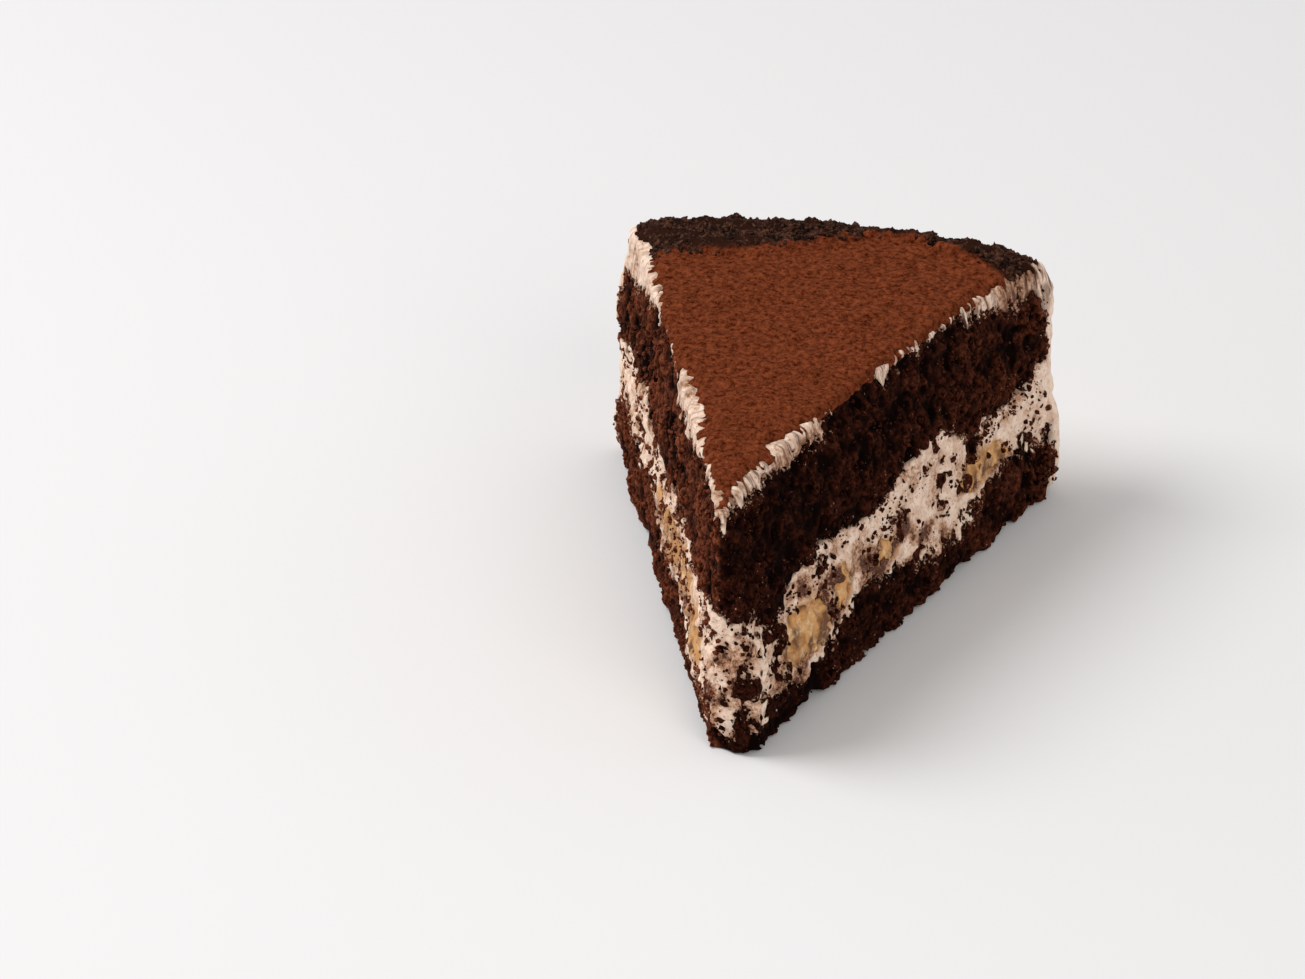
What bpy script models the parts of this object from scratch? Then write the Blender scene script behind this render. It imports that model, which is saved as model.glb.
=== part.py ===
# A wedge of chocolate layer cake, cut from a round cake 24 cm across.
#
# Two dark sponge layers hold a thick filling of cream, with pieces of banana that the knife cut
# through. The same cream covers the upper sponge and the outer side, and the top is dusted with
# cocoa and has a rim of dark cake crumbs along its outer edge. The cut faces lean outwards on
# the way down and the tip is blunt, because the knife pressed the soft slice down.
#
# Metres, +Z up. The tip points to -Y. The origin is on the surface that the slice stands on,
# under the middle of the space that it takes up.
#
# A place on the slice is given by s, its distance from the tip along a cut face, by q, which
# runs from 0 on the left cut face to 1 on the right one, and by its height z.
import math
import random

import bmesh
import bpy
from mathutils import Matrix, Vector, noise
from mathutils.geometry import delaunay_2d_cdt

MM = 0.001

# Driving dimensions.
CAKE_RADIUS = 120.0 * MM
SLICE_ANGLE = math.radians(39.1)
RIM_HEIGHT = 49.5 * MM
COCOA_THICKNESS = 0.8 * MM
COAT_THICKNESS = 2.3 * MM
COAT_FOOT_HEIGHT = 1.6 * MM
COAT_FOOT_WAVES = 0.8 * MM
GAP = 0.3 * MM
TIP_PLACE = Vector((-0.3 * MM, -60.0 * MM, 0.0))

# How finely the surfaces are divided.
FACE_STEPS = 40
ARC_STEPS = 16
FRONT_STEPS = 4
SPONGE_ROWS = 4
FILLING_ROWS = 6
COAT_ROWS = 10
# Rows of points inside a layer's surface, and the spacing along a row.
COARSE = (7, 14.0 * MM)
FINE = (20, 6.0 * MM)

# Each curve below is a few (place, value) pairs, in millimetres, with smooth steps between them.
# The top is a little higher inside the rim, by distance from the tip.
TOP_DOME = ((0, 0.0), (10, 1.0), (30, 2.0), (60, 2.2), (90, 1.5), (110, 0.4), (120, 0.0))

# How far each cut face leans out at the base, and the share of that at each height.
LEFT_LEAN = ((0, 1.3), (30, 2.0), (60, 2.6), (118, 3.2))
LEFT_SHARE = ((0, 0.75), (3, 1.06), (14, 0.87), (22, 0.6), (29, 1.0), (40, 0.42), (49.5, 0.0))
RIGHT_LEAN = ((0, 7.8), (12, 6.1), (50, 5.2), (118, 4.3))
RIGHT_SHARE = ((0, 0.95), (5, 1.0), (10, 0.96), (17, 0.8), (25, 0.62), (33, 0.55), (41, 0.33),
               (49.5, 0.0))
# The right face's top edge runs inside a straight line by this much, from this height up.
RIGHT_TUCK = ((0, 0.0), (12, 0.8), (25, 1.5), (95, 1.6), (108, 0.6), (118, 0.0))
TUCK_RISE = ((36, 0.0), (50, 1.0))

# The outer side swells below its top edge, and the blunt front stands back, by height.
SIDE_SWELL = ((0, 0.9), (6, 2.0), (22, 1.9), (38, 1.4), (46, 0.6), (50, -0.8))
FRONT_SETBACK = ((0, 2.6), (12, 2.4), (30, 1.8), (44, 1.2), (49, 0.9))
FRONT_ROUNDING = 1.4 * MM

# Where the layers meet, on the left and on the right cut face, by distance from the tip.
LOWER_TOP_LEFT = ((0, 4.0), (12, 7.5), (24, 6.5), (31, 11.5), (45, 12.2), (58, 12.5), (72, 17),
                  (84, 15), (96, 14.5), (106, 16.5), (120, 13.5))
LOWER_TOP_RIGHT = ((0, 3.0), (6, 5.0), (14, 8.5), (27, 9.0), (34, 12.5), (43, 14.3), (58, 12),
                   (74, 8.5), (84, 10.5), (92, 13.5), (100, 14.3), (120, 14.8))
FILLING_TOP_LEFT = ((0, 28), (16, 27.5), (36, 30.5), (50, 28), (60, 28.5), (71, 24.5), (78, 31),
                    (90, 29), (98, 31.5), (108, 27), (120, 22.5))
FILLING_TOP_RIGHT = ((0, 27), (14, 21.8), (26, 27.5), (36, 28.5), (52, 26.8), (72, 32), (82, 30),
                     (88, 21), (94, 26), (104, 25), (120, 29))
# How thick the cream on top of the upper sponge is.
CREAM_LEFT = ((0, 1.6), (20, 1.6), (28, 3.6), (48, 3.6), (56, 1.4), (80, 1.6), (92, 3.0),
              (106, 5.5), (120, 8.5))
CREAM_RIGHT = ((0, 1.8), (12, 2.2), (24, 4.0), (34, 3.6), (42, 1.4), (60, 1.6), (88, 1.6),
               (98, 3.6), (110, 5.0), (120, 5.5))
# How far the cocoa ends inside the cream's edge.
COCOA_INSET_LEFT = ((0, 0.5), (20, 1.2), (28, 2.6), (48, 2.6), (56, 0.8), (80, 0.7), (90, 1.8),
                    (105, 2.8), (118, 1.4))
COCOA_INSET_RIGHT = ((0, 0.5), (12, 1.4), (25, 2.6), (36, 1.8), (42, 0.7), (60, 1.0), (88, 0.8),
                     (98, 1.5), (118, 1.0))
COCOA_OUTER_INSET = 1.2 * MM
COCOA_SETBACK = 3.0 * MM
COCOA_BUMPS = 0.22 * MM

# How wide the rim of crumbs is, by q times 100, and how many crumbs stand proud in it.
CRUMB_RIM = ((0, 17.5), (22, 16), (36, 14), (43, 11), (50, 7.5), (60, 4.5), (69, 2.8), (76, 5.7),
             (85, 7.0), (100, 11))
CRUMB_COUNT = 90
CRUMB_RADII = (0.8 * MM, 1.6 * MM)
CRUMB_BED = 0.35 * MM
CRUMB_MARGIN = 3.2 * MM
CRUMB_SPACING = 2.1 * MM

# Banana pieces at the cut faces: side, middle (s, z), half length, half height, depth inwards,
# and the turn of the outline in degrees.
BANANA_PIECES = (
    ("right", 23.0, 15.6, 8.6, 5.0, 9.0, 8),
    ("right", 37.0, 17.6, 3.4, 2.5, 6.0, 30),
    ("right", 53.0, 17.4, 3.2, 1.8, 5.0, 10),
    ("right", 92.0, 17.7, 8.6, 2.2, 7.0, 4),
    ("left", 18.5, 13.0, 5.6, 3.6, 7.0, -5),
    ("left", 33.5, 18.6, 6.6, 3.8, 8.0, 6),
    ("left", 48.5, 19.0, 5.4, 3.6, 8.0, -8),
    ("left", 61.5, 20.0, 4.8, 2.9, 7.0, 10),
)
BANANA_SIDES = 14
BANANA_PROUD = 0.25 * MM
# The outline's width just under the cut and further in, and how far its two ends bulge.
BANANA_WIDTHS = (0.93, 1.0, 0.96, 0.55)
BANANA_BULGES = (0.15 * MM, -0.4 * MM)
# How far a pocket for a piece of banana is cut out past the cream's cut face.
POCKET_REACH = 4.0 * MM

# Relief of the torn crumb on the cut faces.
CRAG_SIZE = 4.2 * MM
CRAG_DEPTH = 0.6 * MM
RAGGED_EDGE = 0.7 * MM
RAGGED_SIZE = 5.0 * MM

# Colours, as sRGB shares, and how matt the surfaces are.
SPONGE_COLOUR, SPONGE_ROUGHNESS = (0.20, 0.10, 0.075), 0.95
CREAM_COLOUR, CREAM_ROUGHNESS = (0.90, 0.83, 0.76), 0.5
COCOA_COLOUR, COCOA_ROUGHNESS = (0.44, 0.22, 0.12), 0.95
BANANA_COLOUR, BANANA_ROUGHNESS = (0.80, 0.65, 0.42), 0.35


def curve(pairs, x):
    """The value at x of a curve through (place, value) pairs, with smooth steps between them."""
    if x <= pairs[0][0]:
        return pairs[0][1]
    for (x0, y0), (x1, y1) in zip(pairs, pairs[1:]):
        if x <= x1:
            u = (x - x0) / (x1 - x0)
            return y0 + (y1 - y0) * u * u * (3.0 - 2.0 * u)
    return pairs[-1][1]


def metres(pairs, place):
    """A millimetre curve read at a place in metres, as metres."""
    return curve(pairs, place / MM) * MM


def across(left, right, s, q):
    """A height or width that goes smoothly from the left face's curve to the right face's."""
    return metres(left, s) + (metres(right, s) - metres(left, s)) * q * q * (3.0 - 2.0 * q)


def top_height(s, q):
    return RIM_HEIGHT + metres(TOP_DOME, s)


def ragged(s, q, seed):
    """Small ups and downs of a layer's edge, full on the cut faces and none inside."""
    face = abs(2.0 * q - 1.0) ** 4
    return RAGGED_EDGE * face * noise.noise(Vector((s / RAGGED_SIZE, 7.0 * q, seed)))


def cream_top(s, q):
    return top_height(s, q) - COCOA_THICKNESS - GAP


def cream_foot(s, q):
    return cream_top(s, q) - across(CREAM_LEFT, CREAM_RIGHT, s, q) + 0.5 * ragged(s, q, 3.5)


def filling_top(s, q):
    return across(FILLING_TOP_LEFT, FILLING_TOP_RIGHT, s, q) + ragged(s, q, 11.5)


def lower_top(s, q):
    return across(LOWER_TOP_LEFT, LOWER_TOP_RIGHT, s, q) + ragged(s, q, 19.5)


def face_lean(side, s, z):
    """How far a cut face stands outside the plain wedge at a place on it."""
    if side == "left":
        return metres(LEFT_LEAN, s) * curve(LEFT_SHARE, z / MM)
    tuck = metres(RIGHT_TUCK, s) * curve(TUCK_RISE, z / MM)
    return metres(RIGHT_LEAN, s) * curve(RIGHT_SHARE, z / MM) - tuck


def face_normal(side):
    """The direction straight out of a cut face."""
    half = SLICE_ANGLE / 2.0
    sign = -1.0 if side == "left" else 1.0
    return Vector((sign * math.cos(half), -math.sin(half), 0.0))


def place(s, q, z, inset_left=0.0, inset_right=0.0):
    """The point of the smooth slice at s, q and z."""
    half = SLICE_ANGLE / 2.0
    turn = -half + SLICE_ANGLE * q
    left = face_normal("left") * (face_lean("left", s, z) - inset_left) * (1.0 - q)
    right = face_normal("right") * (face_lean("right", s, z) - inset_right) * q
    point = Vector((s * math.sin(turn), s * math.cos(turn), 0.0)) + left + right
    return TIP_PLACE + point + Vector((0.0, 0.0, z))


def crag(point):
    """The torn crumb's relief, from one hollow to the next."""
    p = point / CRAG_SIZE
    return CRAG_DEPTH * (noise.noise(p) + 0.6 * noise.noise(p * 2.3 + Vector((5.0, 1.0, 9.0))))


def plan_ring():
    """Once round the slice from the front of the right face: (share of s, q, side)."""
    ring = [(i / FACE_STEPS, 1.0, "right") for i in range(FACE_STEPS)]
    ring += [(1.0, 1.0 - i / ARC_STEPS, "outer") for i in range(ARC_STEPS)]
    ring += [(1.0 - i / FACE_STEPS, 0.0, "left") for i in range(FACE_STEPS)]
    ring += [(0.0, i / FRONT_STEPS, "front") for i in range(FRONT_STEPS)]
    return ring


def plan_inside(rows, spacing):
    """A few places inside the ring, as (share of s, q), no closer together than spacing."""
    inside = []
    for i in range(1, rows):
        share = i / rows
        width = 2.0 * share * CAKE_RADIUS * math.sin(SLICE_ANGLE / 2.0)
        count = max(1, round(width / spacing) - 1)
        inside += [(share, (j + 1) / (count + 1)) for j in range(count)]
    return inside


def no_insets(s):
    return 0.0, 0.0


def cocoa_insets(s):
    return metres(COCOA_INSET_LEFT, s), metres(COCOA_INSET_RIGHT, s)


class Outline:
    """How far a layer's own outline stands inside the slice's: at its outer side, at its two
    cut faces and at its front."""

    def __init__(self, skin=0.0, insets=no_insets, setback=0.0):
        self.skin, self.insets, self.setback = skin, insets, setback


def reach(share, q, z, outline):
    """Distance from the tip, from the blunt front at share 0 to the outer side at share 1."""
    near = metres(FRONT_SETBACK, z) - FRONT_ROUNDING * (1.0 - (2.0 * q - 1.0) ** 2)
    far = CAKE_RADIUS + metres(SIDE_SWELL, z) - outline.skin
    return near + outline.setback + (far - near - outline.setback) * share


def wall_point(spot, z, outline, torn):
    """A point of a layer's wall. A torn wall has the crumb's relief, apart from the outer side."""
    share, q, side = spot
    s = reach(share, q, z, outline)
    point = place(s, q, z, *outline.insets(s))
    if torn and side in ("left", "right"):
        point += face_normal(side) * crag(point)
    elif torn and side == "front":
        point += Vector((0.0, -1.0, 0.0)) * crag(point)
    return point


def settle(height, share, q, outline):
    """The height of a layer's surface at a plan place, where s depends a little on height."""
    s = reach(share, q, RIM_HEIGHT / 2.0, outline)
    for _ in range(3):
        z = height(s, q)
        s = reach(share, q, z, outline)
    return z


def plan_triangles(ring, inside):
    """Triangles over the slice's plan at half height, the same ones for every layer, so that
    two layers that meet stay parallel."""
    z = RIM_HEIGHT / 2.0
    spots = [spot[:2] for spot in ring] + inside
    flat = [place(reach(share, q, z, Outline()), q, z).xy for share, q in spots]
    edges = [(i, (i + 1) % len(ring)) for i in range(len(ring))]
    return delaunay_2d_cdt(flat, edges, [], 1, 1e-9)[2]


def cover(bm, edge, height, outline, rows, spacing):
    """Covers a layer from its edge vertices inwards with triangles at a height."""
    inside = plan_inside(rows, spacing)
    verts = list(edge)
    for share, q in inside:
        z = settle(height, share, q, outline)
        s = reach(share, q, z, outline)
        verts.append(bm.verts.new(place(s, q, z, *outline.insets(s))))
    for corners in plan_triangles(plan_ring(), inside):
        bm.faces.new([verts[i] for i in corners])


def close_up(bm, name):
    """Turns the mesh into an object, after its faces are triangles that all point outwards."""
    bmesh.ops.recalc_face_normals(bm, faces=bm.faces)
    long_faces = [face for face in bm.faces if len(face.verts) > 3]
    bmesh.ops.triangulate(bm, faces=long_faces, quad_method="SHORT_EDGE")
    mesh = bpy.data.meshes.new(name)
    bm.to_mesh(mesh)
    bm.free()
    thing = bpy.data.objects.new(name, mesh)
    bpy.context.scene.collection.objects.link(thing)
    return thing


def finish_with(thing, colour, roughness):
    """Gives the object a material of its own."""
    material = bpy.data.materials.new(thing.name)
    material.use_nodes = True
    shader = material.node_tree.nodes["Principled BSDF"]
    linear = [((c + 0.055) / 1.055) ** 2.4 if c > 0.04045 else c / 12.92 for c in colour]
    shader.inputs["Base Color"].default_value = (*linear, 1.0)
    shader.inputs["Roughness"].default_value = roughness
    shader.inputs["Metallic"].default_value = 0.0
    thing.data.materials.clear()
    thing.data.materials.append(material)


def add_layer(name, low, high, rows, outline, torn=True, top_rows=COARSE):
    """A layer of the slice between two heights, with walls in rows and triangulated faces."""
    bm = bmesh.new()
    ring = plan_ring()
    walls = []
    for row in range(rows + 1):
        up = row / rows
        level = []
        for share, q, side in ring:
            bottom = settle(low, share, q, outline)
            top = settle(high, share, q, outline)
            z = bottom + (top - bottom) * up
            level.append(bm.verts.new(wall_point((share, q, side), z, outline, torn)))
        walls.append(level)
    for lower, upper in zip(walls, walls[1:]):
        for i in range(len(ring)):
            j = (i + 1) % len(ring)
            bm.faces.new((lower[i], lower[j], upper[j], upper[i]))
    cover(bm, walls[0], low, outline, *COARSE)
    cover(bm, walls[-1], high, outline, *top_rows)
    return close_up(bm, name)


def add_coat(name):
    """The cream on top and on the outer side: one skin, bent down over the outer edge."""
    bm = bmesh.new()
    ring = plan_ring()
    arc = [i for i, spot in enumerate(ring) if spot[0] == 1.0]
    outside, within = Outline(), Outline(skin=COAT_THICKNESS)
    upper, under = [], []
    for spot in ring:
        z = settle(cream_top, spot[0], spot[1], outside)
        upper.append(bm.verts.new(wall_point(spot, z, outside, True)))
        z = settle(cream_foot, spot[0], spot[1], within)
        under.append(bm.verts.new(wall_point(spot, z, within, True)))
    outer, inner = [[upper[i] for i in arc]], [[under[i] for i in arc]]
    for row in range(1, COAT_ROWS + 1):
        down = row / COAT_ROWS
        for wall, outline in ((outer, outside), (inner, within)):
            level = []
            for column, i in enumerate(arc):
                start = wall[0][column].co.z
                wave = abs(noise.noise(Vector((column, 4.0, 8.0))))
                foot = COAT_FOOT_HEIGHT + COAT_FOOT_WAVES * wave
                z = start + (foot - start) * down
                level.append(bm.verts.new(wall_point(ring[i], z, outline, True)))
            wall.append(level)
    for i in range(len(ring)):
        j = (i + 1) % len(ring)
        if ring[i][0] < 1.0 or ring[j][0] < 1.0:
            bm.faces.new((under[i], under[j], upper[j], upper[i]))
    for column in range(len(arc) - 1):
        for wall, back in ((outer, False), (inner, True)):
            for above, below in zip(wall, wall[1:]):
                corners = [below[column], below[column + 1], above[column + 1], above[column]]
                bm.faces.new(reversed(corners) if back else corners)
        bm.faces.new((inner[-1][column], inner[-1][column + 1],
                      outer[-1][column + 1], outer[-1][column]))
    for column, first in ((0, True), (len(arc) - 1, False)):
        for row in range(COAT_ROWS):
            corners = [inner[row][column], outer[row][column],
                       outer[row + 1][column], inner[row + 1][column]]
            bm.faces.new(corners if first else reversed(corners))
    cover(bm, upper, cream_top, outside, *COARSE)
    cover(bm, under, cream_foot, within, *COARSE)
    return close_up(bm, name)


def banana_body(name, piece, swell, proud):
    """A piece of banana from its cut face inwards, larger all round by swell."""
    side, s_mid, z_mid, half_s, half_z, depth, turn = piece
    normal = face_normal(side)
    bm = bmesh.new()
    steps = (proud, proud - 0.7 * MM, -0.6 * depth * MM, -depth * MM - swell)
    rings = []
    q = 0.0 if side == "left" else 1.0
    lean = math.radians(turn)
    for out, width in zip(steps, BANANA_WIDTHS):
        level = []
        for i in range(BANANA_SIDES):
            angle = 2.0 * math.pi * i / BANANA_SIDES
            wave = 1.0 + 0.08 * math.sin(2.0 * angle + s_mid) + 0.05 * math.sin(3.0 * angle + z_mid)
            a = (half_s * MM * width * wave + swell) * math.cos(angle)
            b = (half_z * MM * width * wave + swell) * math.sin(angle)
            s = s_mid * MM + a * math.cos(lean) - b * math.sin(lean)
            z = z_mid * MM + a * math.sin(lean) + b * math.cos(lean)
            level.append(bm.verts.new(place(s, q, z) + normal * out))
        rings.append(level)
    for near, far in zip(rings, rings[1:]):
        for i in range(BANANA_SIDES):
            j = (i + 1) % BANANA_SIDES
            bm.faces.new((near[i], near[j], far[j], far[i]))
    for level, bulge in zip((rings[0], rings[-1]), BANANA_BULGES):
        middle = sum((vert.co for vert in level), Vector()) / BANANA_SIDES
        centre = bm.verts.new(middle + normal * bulge)
        for i in range(BANANA_SIDES):
            bm.faces.new((level[i], level[(i + 1) % BANANA_SIDES], centre))
    return close_up(bm, name)


def combine(thing, group, operation):
    """Applies one Boolean with a collection of bodies, and removes them."""
    boolean = thing.modifiers.new("combine", "BOOLEAN")
    boolean.operation = operation
    boolean.operand_type = "COLLECTION"
    boolean.collection = group
    boolean.solver = "EXACT"
    bpy.context.view_layer.update()
    shape = bpy.data.meshes.new_from_object(
        thing.evaluated_get(bpy.context.evaluated_depsgraph_get()))
    thing.modifiers.clear()
    thing.data = shape
    for tool in list(group.objects):
        bpy.data.objects.remove(tool)
    bpy.data.collections.remove(group)


def cut_out(thing, cutters):
    """Cuts closed bodies out of the object, and removes them."""
    group = bpy.data.collections.new("cutters")
    bpy.context.scene.collection.children.link(group)
    for cutter in cutters:
        bpy.context.scene.collection.objects.unlink(cutter)
        group.objects.link(cutter)
    combine(thing, group, "DIFFERENCE")


def add_filling(name):
    """The cream between the sponges, with a pocket for each piece of banana."""
    filling = add_layer(name, lambda s, q: lower_top(s, q) + GAP / 2.0,
                        lambda s, q: filling_top(s, q) - GAP / 2.0,
                        FILLING_ROWS, Outline(skin=COAT_THICKNESS + GAP))
    cut_out(filling, [banana_body("pocket", piece, GAP, POCKET_REACH) for piece in BANANA_PIECES])
    return filling


def add_crumbs(group, rng):
    """Dark crumbs of cake along the outer edge of the top, as small uneven lumps."""
    placed = []
    while len(placed) < CRUMB_COUNT:
        q = rng.uniform(0.03, 0.97)
        inwards = rng.uniform(0.0, 1.0)
        if inwards > curve(CRUMB_RIM, 100.0 * q) / CRUMB_RIM[0][1]:
            continue
        s = CAKE_RADIUS - CRUMB_MARGIN - inwards * (CRUMB_RIM[0][1] * MM - CRUMB_MARGIN)
        radius = rng.uniform(*CRUMB_RADII)
        middle = place(s, q, top_height(s, q), *cocoa_insets(s))
        if any((middle - other).length < CRUMB_SPACING for other in placed):
            continue
        placed.append(middle.copy())
        middle.z += CRUMB_BED + 0.25 * radius
        turn = Matrix.Rotation(rng.uniform(0.0, math.pi), 4, rng.choice("XYZ"))
        stretch = Matrix.Diagonal((rng.uniform(0.8, 1.25), rng.uniform(0.8, 1.25), 0.8, 1.0))
        bm = bmesh.new()
        bmesh.ops.create_icosphere(bm, subdivisions=1, radius=radius,
                                   matrix=Matrix.Translation(middle) @ turn @ stretch)
        crumb = close_up(bm, "crumb")
        bpy.context.scene.collection.objects.unlink(crumb)
        group.objects.link(crumb)


def add_cocoa(name):
    """The dusting of cocoa, a thin uneven layer, with the rim of crumbs fused to it."""
    def surface(s, q):
        bumps = noise.noise(Vector((s / (6.0 * MM), 14.0 * q, 2.5)))
        in_rim = s > CAKE_RADIUS - curve(CRUMB_RIM, 100.0 * q) * MM
        return top_height(s, q) + COCOA_BUMPS * bumps + (CRUMB_BED if in_rim else 0.0)

    outline = Outline(COCOA_OUTER_INSET, cocoa_insets, COCOA_SETBACK)
    cocoa = add_layer(name, lambda s, q: top_height(s, q) - COCOA_THICKNESS, surface, 1, outline,
                      torn=False, top_rows=FINE)
    group = bpy.data.collections.new("crumbs")
    bpy.context.scene.collection.children.link(group)
    add_crumbs(group, random.Random(24))
    combine(cocoa, group, "UNION")
    return cocoa


def build():
    for thing in list(bpy.data.objects):
        bpy.data.objects.remove(thing)

    core = Outline(skin=COAT_THICKNESS + GAP)
    lower = add_layer("sponge_lower", lambda s, q: 0.0,
                      lambda s, q: lower_top(s, q) - GAP / 2.0, SPONGE_ROWS, core)
    upper = add_layer("sponge_upper", lambda s, q: filling_top(s, q) + GAP / 2.0,
                      lambda s, q: cream_foot(s, q) - GAP, SPONGE_ROWS, core)
    for sponge in (lower, upper):
        finish_with(sponge, SPONGE_COLOUR, SPONGE_ROUGHNESS)
    for cream in (add_filling("filling_cream"), add_coat("cream_coat")):
        finish_with(cream, CREAM_COLOUR, CREAM_ROUGHNESS)
    for number, piece in enumerate(BANANA_PIECES, 1):
        flesh = banana_body(f"banana_{number}", piece, 0.0, BANANA_PROUD)
        finish_with(flesh, BANANA_COLOUR, BANANA_ROUGHNESS)
    finish_with(add_cocoa("cocoa_top"), COCOA_COLOUR, COCOA_ROUGHNESS)


build()
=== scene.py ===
import math

import bmesh
import bpy
import numpy as np
import openvdb as vdb
from mathutils import Matrix, Vector


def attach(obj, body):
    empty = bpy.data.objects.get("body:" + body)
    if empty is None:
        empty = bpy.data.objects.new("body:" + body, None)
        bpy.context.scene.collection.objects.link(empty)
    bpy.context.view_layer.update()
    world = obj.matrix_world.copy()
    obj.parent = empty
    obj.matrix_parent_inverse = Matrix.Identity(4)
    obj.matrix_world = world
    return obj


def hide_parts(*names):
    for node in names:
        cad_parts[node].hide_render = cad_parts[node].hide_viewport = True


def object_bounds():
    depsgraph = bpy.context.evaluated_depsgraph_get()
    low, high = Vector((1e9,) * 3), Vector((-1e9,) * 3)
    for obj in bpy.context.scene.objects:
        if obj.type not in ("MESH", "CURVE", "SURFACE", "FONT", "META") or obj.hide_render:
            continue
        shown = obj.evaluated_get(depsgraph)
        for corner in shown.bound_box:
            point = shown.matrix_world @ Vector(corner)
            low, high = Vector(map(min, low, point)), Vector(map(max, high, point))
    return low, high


MM = 0.001
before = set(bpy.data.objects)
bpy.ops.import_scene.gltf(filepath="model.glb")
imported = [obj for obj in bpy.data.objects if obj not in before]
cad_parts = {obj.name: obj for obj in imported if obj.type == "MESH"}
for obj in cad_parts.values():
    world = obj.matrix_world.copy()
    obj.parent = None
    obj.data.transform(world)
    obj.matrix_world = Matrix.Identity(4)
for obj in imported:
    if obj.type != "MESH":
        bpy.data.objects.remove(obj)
cad_low, cad_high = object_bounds()

# The wedge: its tip, half the angle between its cut faces, and its outer edge.
TIP = np.array((-0.3, -60.0, 0.0))
HALF_ANGLE = math.radians(39.1 / 2.0)
RADIUS = 120.0

# The camera stands where the photograph was taken from.
CAMERA_PLACE = Vector((166.819, -888.714, 500.610)) * MM
CAMERA_DIRECTION = Vector((-0.18641516, 0.86400134, -0.46770832))
CAMERA_ROLL = math.radians(-0.16)
LENS, SENSOR = 151.72, 36.0

# The block of cells, and how far a distance is known on either side of a surface.
PITCH = 0.4
BAND = 3.2
LOW = np.array(cad_low) / MM - BAND
SPAN = (np.array(cad_high) - np.array(cad_low)) / MM + 2.0 * BAND
SHAPE = tuple(int(math.ceil(length / PITCH)) + 1 for length in SPAN)
X, Y, Z = (
    (LOW[axis] + PITCH * np.arange(SHAPE[axis], dtype=np.float32)).reshape(
        [-1 if axis == other else 1 for other in range(3)])
    for axis in range(3))

# A spline through random values spreads less than they do, by this factor.
SPLINE_SPREAD = 0.33
# Neighbouring layers reach into each other by this much.
OVERLAP = 0.06
# Gaps between the solids, up to twice this wide, are closed in the outline, which is then
# softened over a width. Rough borders between layers fade out this deep under it.
CLOSED_GAP = 0.22
SKIN_BLUR = 0.6
BORDER_DEPTH = 2.4
# A cell is near a cut face down to this depth, and near a top edge above this height, after a
# stretch in which that grows.
CUT_DEPTH, CUT_FADE = 4.5, 3.0
TOP_HEIGHT, TOP_FADE = 38.0, 4.0
# The outer side is this deep, after a stretch in which it begins, and knife marks run past it.
SIDE_DEPTH, SIDE_FADE = 4.0, 3.0
MARKS_END = RADIUS + 20.0
# How steeply a soft patch rises from its rim to its full strength.
PATCH_EDGE = 2.5
# How much thinner the cream is at the top edges, torn away by the knife, and how much nearer the
# cocoa comes to them.
THIN_EDGE = 0.25
COCOA_SPREAD = 0.35
# How deep a stain goes, how far the cream is smeared over the sponge, how far fruit tints the
# cream and how strongly, and how much cleaner the outer side is.
STAIN_DEPTH = 5.0
SMEAR_WIDTH = 1.8
TINT_WIDTH, TINT_MOST = 2.6, 0.8
OUTER_CLEAN = 0.3
# What holds sponge back from being dragged over the cream: everywhere, at the top edges, away
# from the cut faces, near sponge (where it holds less) and near fruit. Then how near those two
# have to be, and how strongly a patch of dragged sponge pulls.
HOLD, HOLD_AT_TOP, HOLD_INSIDE, HOLD_BY_SPONGE, HOLD_BY_FRUIT = 1.9, 2.0, 2.0, -0.5, 1.1
BY_SPONGE, BY_FRUIT = 2.5, 1.5
PULL = 2.4
# How thick the dragged sponge is, and how sharply it ends sideways and inwards.
DRAGGED_DEPTH, DRAGGED_EDGE, DRAGGED_BACK = 0.8, 3.5, 6.0
# How far creases push the sponge's and the cream's surface out, which is taken off again.
SPONGE_LIFT, CREAM_LIFT = 0.35, 0.12
# The cocoa's ripples, at most, and how far the outer side swells, around this height.
RIPPLE_DEPTH = 0.35
SWELL, SWELL_Z, SWELL_HALF = 1.0, 41.5, 10.0
# The relief of a fully open crumb, whose pores get painted shade. Painted shade darkens the sponge
# from this share of the way to the right.
PORE_SHADE_RELIEF = 1.6
PAINTED_SHADE_FROM, PAINTED_SHADE_FADE = 0.35, 0.4
# How many random places the skin has, and how many of them have pores or crumbs. A place is not
# under the slice, and no deeper in the solids than this. Pores stand out by a share of their size.
SKIN_PLACES, OFF_FLOOR, SHALLOW = 90000, 0.6, 0.55
PORES, PORE_SMALL, PORE_LARGE, PORE_LIFT = 3200, 0.4, 0.95, 0.1
CREAM_CRUMBS, SPONGE_CRUMBS, OUTER_CRUMBS = 1400, 2200, 130
# The smallest crumb's half size, how much more the largest has, and how much more one has that
# lies in the heap. Crumbs lie on the outer side below the first height and above the second.
CRUMB_SIZE, CRUMB_RANGE, HEAP_MORE = 0.16, 0.5, 0.3
FOOT_HEIGHT, RIM_FOOT = 9.0, 44.0
# Each lump has one of this many shapes, and its points are this rough.
LUMP_SHAPES, LUMP_ROUGHNESS = 16, 0.22
# Crumbs in the rim: how many are tried and kept, how deep the rim is at most, how far crumbs
# stray from it, how far they may lie on cream, and the heights between which its surface is.
RIM_TRIES, RIM_CRUMBS, RIM_DEPTH, STRAY, RIM_CREAM = 24000, 9000, 20.0, 0.6, 2.5
RIM_LOW, RIM_HIGH = 45.0, 54.0
# The cocoa turns dark under the rim within this stretch.
BARE_FADE = 1.6
# A heap of crumbs at the foot of the right face: its middle (s, z), half size and how many.
HEAP_S, HEAP_Z, HEAP_HALF, HEAP_COUNT = 116.5, 7.0, 2.0, 60
# The skin is looked for from outside the wedge's plain faces to inside them, in small steps.
HIGHEST, DEEPEST, STEP = 9.0, -16.0, 0.2
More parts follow.
